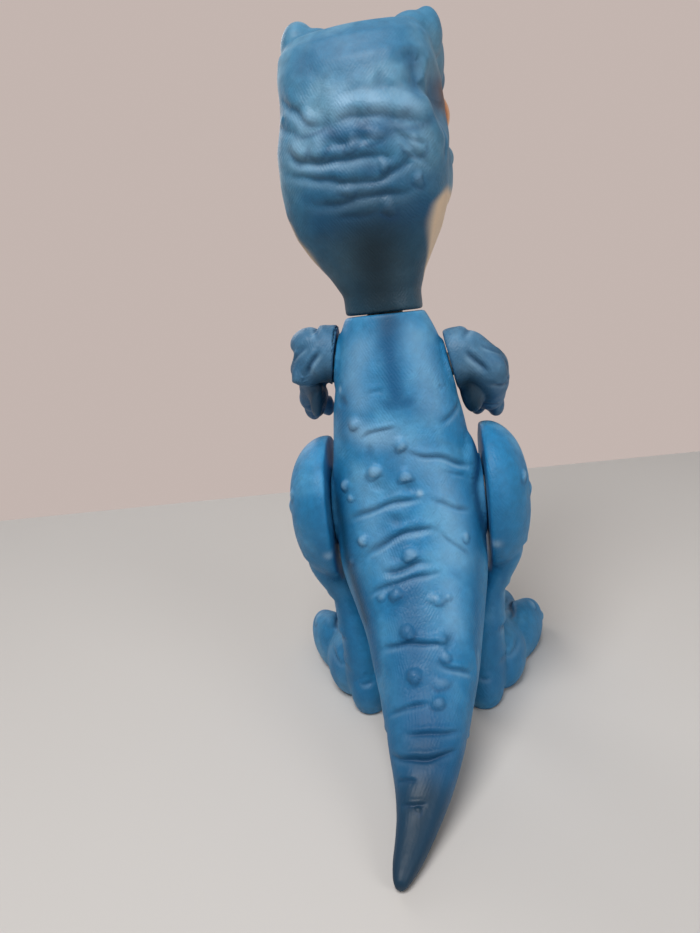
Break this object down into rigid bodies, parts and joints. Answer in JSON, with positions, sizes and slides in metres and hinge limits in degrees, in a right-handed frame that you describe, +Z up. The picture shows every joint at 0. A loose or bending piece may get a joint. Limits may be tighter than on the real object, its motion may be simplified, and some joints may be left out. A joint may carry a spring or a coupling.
{
  "type": "toy dinosaur figure",
  "caption": "Moulded vinyl upright dinosaur figure with turning head, opening jaw, swivel arms and legs, and a long tail that rests on the ground.",
  "frame": {"origin": "bottom centre of the overall box, on the surface that the feet and the tail's tip rest on", "axes": "+Z up, the toy faces -Y, its tail points to +Y, and +X is its own left side"},
  "size_m": [0.0766, 0.13, 0.1758],
  "materials": {
    "skin_body": "satin",
    "skin_head": "satin",
    "skin_arms": "satin",
    "skin_legs": "satin",
    "skin_jaw": "satin",
    "eyes": "gloss",
    "teeth": "satin",
    "tongue": "satin",
    "palate": "satin",
    "plug_neck": "satin",
    "plug_hips": "satin",
    "plug_shoulders": "satin",
    "hinge_pins": "satin"
  },
  "bodies": {
    "torso": {"body_shell": "skin_body", "neck_plug": "plug_neck", "hip_plug_left": "plug_hips", "hip_plug_right": "plug_hips", "shoulder_plug_left": "plug_shoulders", "shoulder_plug_right": "plug_shoulders"},
    "head": {"head_shell": "skin_head", "eye_left": "eyes", "eye_right": "eyes", "mouth_roof": "palate", "upper_teeth": "teeth", "jaw_pins": "hinge_pins"},
    "jaw": {"lower_jaw": "skin_jaw", "lower_teeth": "teeth", "tongue": "tongue"},
    "left_arm": {"arm_left": "skin_arms"},
    "right_arm": {"arm_right": "skin_arms"},
    "left_leg": {"leg_left": "skin_legs"},
    "right_leg": {"leg_right": "skin_legs"}
  },
  "joints": [
    {"name": "neck_turn", "type": "hinge", "parent": "torso", "child": "head", "pos_m": [0.00147, -0.00685, 0.1075], "axis": [-0.0035, -0.0523, 0.9986], "continuous": true},
    {"name": "jaw_open", "type": "hinge", "parent": "head", "child": "jaw", "pos_m": [0.00011, -0.02042, 0.13833], "axis": [0.9945, -0.1046, -0.002], "range_deg": [0, 20]},
    {"name": "left_shoulder_turn", "type": "hinge", "parent": "torso", "child": "left_arm", "pos_m": [0.01527, -0.00785, 0.09693], "axis": [0.9816, 0, 0.1908], "range_deg": [-170, 4]},
    {"name": "right_shoulder_turn", "type": "hinge", "parent": "torso", "child": "right_arm", "pos_m": [-0.01377, -0.00785, 0.093], "axis": [0.9816, 0, -0.1908], "range_deg": [-170, 4]},
    {"name": "left_hip_turn", "type": "hinge", "parent": "torso", "child": "left_leg", "pos_m": [0.0199, -0.00785, 0.0575], "axis": [1, 0, 0], "range_deg": [-85, 2]},
    {"name": "right_hip_turn", "type": "hinge", "parent": "torso", "child": "right_leg", "pos_m": [-0.0199, -0.00785, 0.0575], "axis": [1, 0, 0], "range_deg": [-85, 2]}
  ]
}
